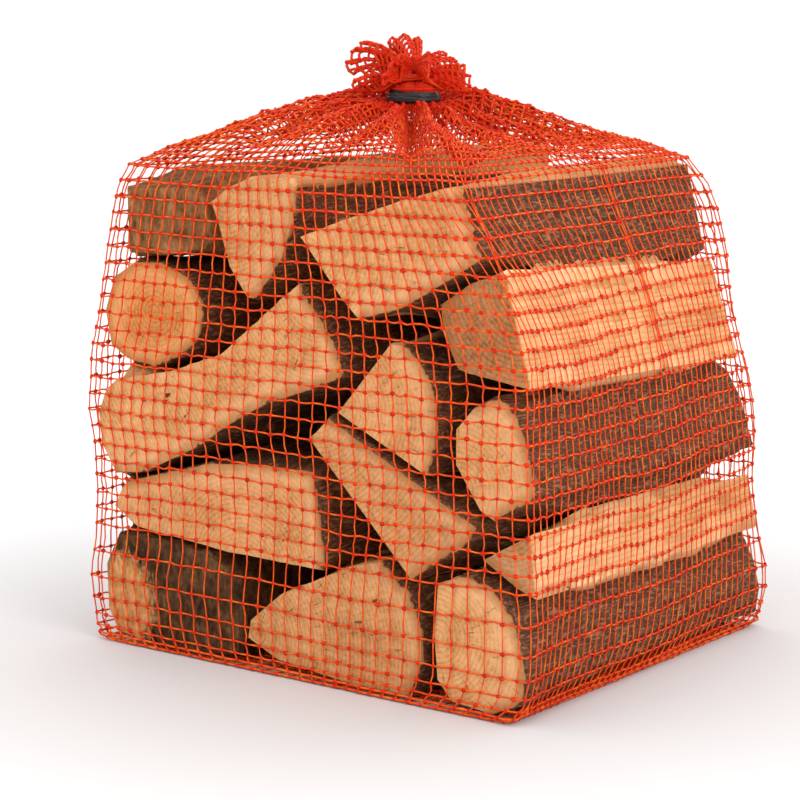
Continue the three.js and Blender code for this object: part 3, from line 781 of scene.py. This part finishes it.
    # Each place may move only along its own way out, until the net is taut over the logs. The
    # way is sideways on the sides, up on the shoulder and down on the base.
    up = smoothstep(row, ends[2] - 4, ends[2] + 8)
    way = np.stack([out[..., 0] * (1 - up), out[..., 1] * (1 - up), up], axis=-1)
    down = smoothstep(-row, -ends[1] - 1, -ends[1] + 3)
    way = way * (1 - down[..., None]) + down[..., None] * np.array([0, 0, -1])
    way /= np.linalg.norm(way, axis=-1, keepdims=True)
    start = np.stack([x, y, z], axis=-1)
    floor_level = np.full(row.shape, -0.05)
    clear = LEVEL_RADIUS + 0.0007
    loose = slice(ends[1] + 1, ends[2] + 20)
    for j in range(loose.start, loose.stop):
        for i in range(columns):
            origin = Vector(start[j, i] + 0.03 * way[j, i])
            hit = pile.ray_cast(origin, Vector(-way[j, i]), 0.075)
            if hit[0] is not None:
                floor_level[j, i] = 0.03 - hit[3] + clear
    # The strands at the corners are held, and up the shoulder all are, more and more.
    posts = np.zeros(columns, dtype=bool)
    for corner in starts[:4]:
        for step in (-1, 0, 1):
            posts[(corner + step) % columns] = True
    free = np.zeros(row.shape, dtype=bool)
    free[loose] = True
    hold = smoothstep(row, ends[2], loose.stop)
    hold = np.where(posts[None, :], 1.0, hold)
    offset = np.maximum(0, np.where(free, floor_level, 0))
    for _ in range(RELAXING_PASSES):
        place = start + offset[..., None] * way
        mean = 0.3 * (np.roll(place, 1, axis=1) + np.roll(place, -1, axis=1))
        mean[1:-1] += 0.2 * (place[2:] + place[:-2])
        wanted = np.einsum("ijk,ijk->ij", mean - start, way) * (1 - hold)
        offset = np.where(free, np.maximum(wanted, floor_level), 0)
    return start + offset[..., None] * way


def net_material(name, steps):
    """Extruded polythene netting: thin waxy strands, a little see-through, so that they look
    lighter where they are drawn thin and deeper red where they cross."""
    material, tree = new_material(name)
    place = add_node(tree, "ShaderNodeTexCoord")
    drawn = add_node(tree, "ShaderNodeTexNoise", {"Scale": 160.0, "Detail": 3.0},
                     {"Vector": (place, "Object")})
    shade = add_node(tree, "ShaderNodeValToRGB", links={"Fac": (drawn, "Fac")})
    colour_steps(shade, steps)
    # Painted shade: near the tie, where the net is gathered in many layers that pass little light,
    # the strands are painted a deeper red.
    from_tie = add_node(tree, "ShaderNodeVectorMath",
                        {"operation": "DISTANCE", 1: GATHER_CENTRE},
                        {0: (place, "Object")})
    painted_gather_shade = add_node(tree, "ShaderNodeMapRange",
                        {"From Min": 0.100, "From Max": 0.020, "To Min": 0.0, "To Max": 0.75},
                        {"Value": (from_tie, "Value")})
    deeper = add_node(tree, "ShaderNodeMix", {"data_type": "RGBA", 7: colour("#C81C04")},
                      {0: (painted_gather_shade, "Result"), 6: (shade, "Color")})
    surface = add_node(tree, "ShaderNodeBsdfPrincipled",
                       {"Roughness": 0.5, "IOR": 1.51, "Specular IOR Level": 0.15},
                       {"Base Color": (deeper, 2)})
    close_material(tree, surface, (drawn, "Fac"), 0.0003)
    return material


def strands(grid_piece, name, keep, radius, material):
    """Turns the kept edges of the net's grid into round strands."""
    only(grid_piece)
    bpy.ops.object.duplicate()
    piece = bpy.context.object
    piece.name = name
    piece.data.name = name
    mesh = piece.data
    mesh.polygons.foreach_set("select", np.zeros(len(mesh.polygons), dtype=bool))
    mesh.vertices.foreach_set("select", np.zeros(len(mesh.vertices), dtype=bool))
    mesh.edges.foreach_set("select", ~keep)
    bpy.context.tool_settings.mesh_select_mode = (False, True, False)
    bpy.ops.object.mode_set(mode="EDIT")
    bpy.ops.mesh.delete(type="EDGE_FACE")
    bpy.ops.object.mode_set(mode="OBJECT")
    bpy.ops.object.convert(target="CURVE")
    curve = bpy.context.object
    curve.data.bevel_depth = radius
    curve.data.bevel_resolution = 0
    curve.data.use_fill_caps = True
    # Its strands double up where the net is gathered and where it folds under.
    for spline in curve.data.splines:
        places = np.empty(4 * len(spline.points))
        spline.points.foreach_get("co", places)
        x, y, z, _ = places.reshape(-1, 4).T
        from_neck = np.hypot(x - NECK.x, y - NECK.y)
        fuller = 1 + 0.6 * (1 - smoothstep(from_neck, 0.025, 0.10)) * smoothstep(z, 0.270, 0.280)
        fuller += 0.45 * (1 - smoothstep(z, 0.003, 0.009)) + 0.35 * smoothstep(z, 0.304, 0.309)
        spline.points.foreach_set("radius", fuller.astype(np.float32))
    bpy.ops.object.convert(target="MESH")
    piece = bpy.context.object
    piece.data.materials.clear()
    piece.data.materials.append(material)
    bpy.ops.object.shade_smooth()
    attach(piece, "root")
    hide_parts("net_bag")


def make_knots(grid_piece, knots, material):
    """One small flattened bead at each crossing that isn't hidden under the logs."""
    bpy.ops.object.select_all(action="DESELECT")
    bpy.ops.mesh.primitive_ico_sphere_add(subdivisions=1, radius=BEAD_RADIUS)
    bead = bpy.context.object
    bead.name = "net_bead"
    bpy.ops.object.mode_set(mode="EDIT")
    bpy.ops.transform.resize(value=(1.0, 0.9, 0.72))
    bpy.ops.object.mode_set(mode="OBJECT")
    bpy.ops.object.shade_smooth()

    only(grid_piece)
    bpy.ops.object.duplicate()
    piece = bpy.context.object
    piece.name = "net_knots"
    piece.data.name = "net_knots"
    write_attribute(piece.data, "is_knot", knots.astype(float))
    tree = bpy.data.node_groups.new("bead_at_each_crossing", "GeometryNodeTree")
    tree.interface.new_socket("Geometry", in_out="INPUT", socket_type="NodeSocketGeometry")
    tree.interface.new_socket("Geometry", in_out="OUTPUT", socket_type="NodeSocketGeometry")
    grid_in = add_node(tree, "NodeGroupInput")
    chosen = add_node(tree, "GeometryNodeInputNamedAttribute",
                      {"data_type": "FLOAT", "Name": "is_knot"})
    facing = add_node(tree, "GeometryNodeInputNormal")
    turned = add_node(tree, "FunctionNodeAlignRotationToVector", {"axis": "Z"},
                      {"Vector": (facing, "Normal")})
    bead_in = add_node(tree, "GeometryNodeObjectInfo", {"Object": bead})
    size = add_node(tree, "FunctionNodeRandomValue", {"data_type": "FLOAT", 2: 0.8, 3: 1.2, 8: 3})
    placed = add_node(tree, "GeometryNodeInstanceOnPoints", links={
        "Points": (grid_in, "Geometry"), "Selection": (chosen, "Attribute"),
        "Instance": (bead_in, "Geometry"), "Rotation": (turned, "Rotation"),
        "Scale": (size, 1)})
    real = add_node(tree, "GeometryNodeRealizeInstances", links={"Geometry": (placed, "Instances")})
    add_node(tree, "NodeGroupOutput", links={"Geometry": (real, "Geometry")})
    modifier = piece.modifiers.new("beads", "NODES")
    modifier.node_group = tree
    apply_modifiers(piece)
    piece.data.materials.clear()
    piece.data.materials.append(material)
    bpy.data.objects.remove(bead)
    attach(piece, "root")
    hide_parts("net_bag")


def make_net(logs):
    places = net_grid(surface_of([skin_of(log) for log in logs]))
    rows, columns = places.shape[:2]
    bpy.ops.object.select_all(action="DESELECT")
    bpy.ops.mesh.primitive_grid_add(x_subdivisions=columns, y_subdivisions=rows - 1, size=0.3)
    grid_piece = bpy.context.object
    grid_piece.name = "net_cloth"
    closed = np.concatenate([places, places[:, :1]], axis=1)
    mesh = grid_piece.data
    move_vertices(mesh, closed)
    row = np.repeat(np.arange(rows), columns + 1)
    column = np.tile(np.arange(columns + 1), rows)
    write_attribute(mesh, "net_row", row)
    write_attribute(mesh, "net_column", column % columns)
    bpy.ops.object.mode_set(mode="EDIT")
    bpy.ops.mesh.select_all(action="SELECT")
    bpy.ops.mesh.remove_doubles(threshold=1e-7)
    bpy.ops.object.mode_set(mode="OBJECT")
    row = np.empty(len(mesh.vertices))
    column = np.empty(len(mesh.vertices))
    mesh.attributes["net_row"].data.foreach_get("value", row)
    mesh.attributes["net_column"].data.foreach_get("value", column)
    ends = np.empty(2 * len(mesh.edges), dtype=int)
    mesh.edges.foreach_get("vertices", ends)
    first, second = ends[0::2], ends[1::2]
    upright = (column[first] == column[second]) & (column[first] % 2 == 0)
    level = (row[first] == row[second]) & (row[first] % 2 == 0)
    strand = net_material("extruded_polythene_net_strand",
                          [(0.3, "#D8400C"), (0.5, "#E85412"), (0.7, "#F87A22")])
    knot = net_material("extruded_polythene_net_knot",
                        [(0.3, "#B41C04"), (0.5, "#CC2806"), (0.7, "#E03A0A")])
    strands(grid_piece, "net_upright_strands", upright, UPRIGHT_RADIUS, strand)
    strands(grid_piece, "net_level_strands", level, LEVEL_RADIUS, strand)
    crossing = (row % 2 == 0) & (column % 2 == 0) & (row > 2 * CELLS_BASE - 8)
    make_knots(grid_piece, crossing, knot)
    bpy.data.objects.remove(grid_piece)


# ---------------------------------------------------------------- the tie

def tie_material():
    """Black polythene tape, stretched tight: satin, with fine creases in relief and lighter
    blue-grey streaks along them painted as highlights.
    """
    material, tree = new_material("stretched_black_polythene_tape")
    place = add_node(tree, "ShaderNodeTexCoord")
    along = add_node(tree, "ShaderNodeMapping", {"Scale": (1, 1, 6)}, {"Vector": (place, "Object")})
    crease = add_node(tree, "ShaderNodeTexNoise", {"Scale": 260.0, "Detail": 3.0},
                      {"Vector": (along, "Vector")})
    # Painted highlight: the crease pattern is painted lighter towards its crests.
    shade = add_node(tree, "ShaderNodeValToRGB", links={"Fac": (crease, "Fac")})
    colour_steps(shade, [(0.35, "#030406"), (0.55, "#0B0F13"), (0.72, "#26303A")])
    surface = add_node(tree, "ShaderNodeBsdfPrincipled", {"Roughness": 0.38, "IOR": 1.51},
                       {"Base Color": (shade, "Color")})
    close_material(tree, surface, (crease, "Fac"), 0.0006)
    return material


def make_tie():
    """Two and a half turns of tape round the neck, twisted as it is pulled tight."""
    bpy.ops.object.select_all(action="DESELECT")
    bpy.ops.curve.primitive_bezier_circle_add(radius=1.0, location=(0, 0, 0))
    profile = bpy.context.object
    profile.name = "tape_section"
    profile.scale = (0.0009, 0.0021, 1)
    profile.data.resolution_u = 3
    bpy.ops.object.transform_apply(scale=True)
    data = bpy.data.curves.new("tie_tape", "CURVE")
    data.dimensions = "3D"
    spline = data.splines.new("POLY")
    steps = 120
    spline.points.add(steps - 1)
    for k, point in enumerate(spline.points):
        turn = k / (steps - 1) * TIE_TURNS
        angle = 2 * math.pi * turn + 2.2
        tucked = smoothstep(turn, 0, 0.12) * (1 - smoothstep(turn, 2.38, TIE_TURNS))
        radius = NECK_RADIUS - 0.0012 + 0.0025 * tucked + 0.0003 * math.sin(3.1 * angle)
        height = TIE_BOTTOM + 0.0019 * turn + 0.0006 * math.sin(1.3 * angle)
        point.co = (NECK.x + radius * math.cos(angle), NECK.y + radius * math.sin(angle), height, 1)
        point.tilt = 0.35 * math.sin(1.7 * angle)
    data.bevel_mode = "OBJECT"
    data.bevel_object = profile
    data.use_fill_caps = True
    tape = bpy.data.objects.new("tie_tape", data)
    bpy.context.collection.objects.link(tape)
    only(tape)
    bpy.ops.object.convert(target="MESH")
    tape = bpy.context.object
    tape.data.materials.append(tie_material())
    bpy.ops.object.shade_smooth_by_angle(angle=math.radians(50))
    bpy.data.objects.remove(profile)
    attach(tape, "root")
    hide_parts("tie_band")


# ---------------------------------------------------------------- put it together

make_camera()
make_floor()
make_studio()
logs = make_logs()
make_net(logs)
make_tie()
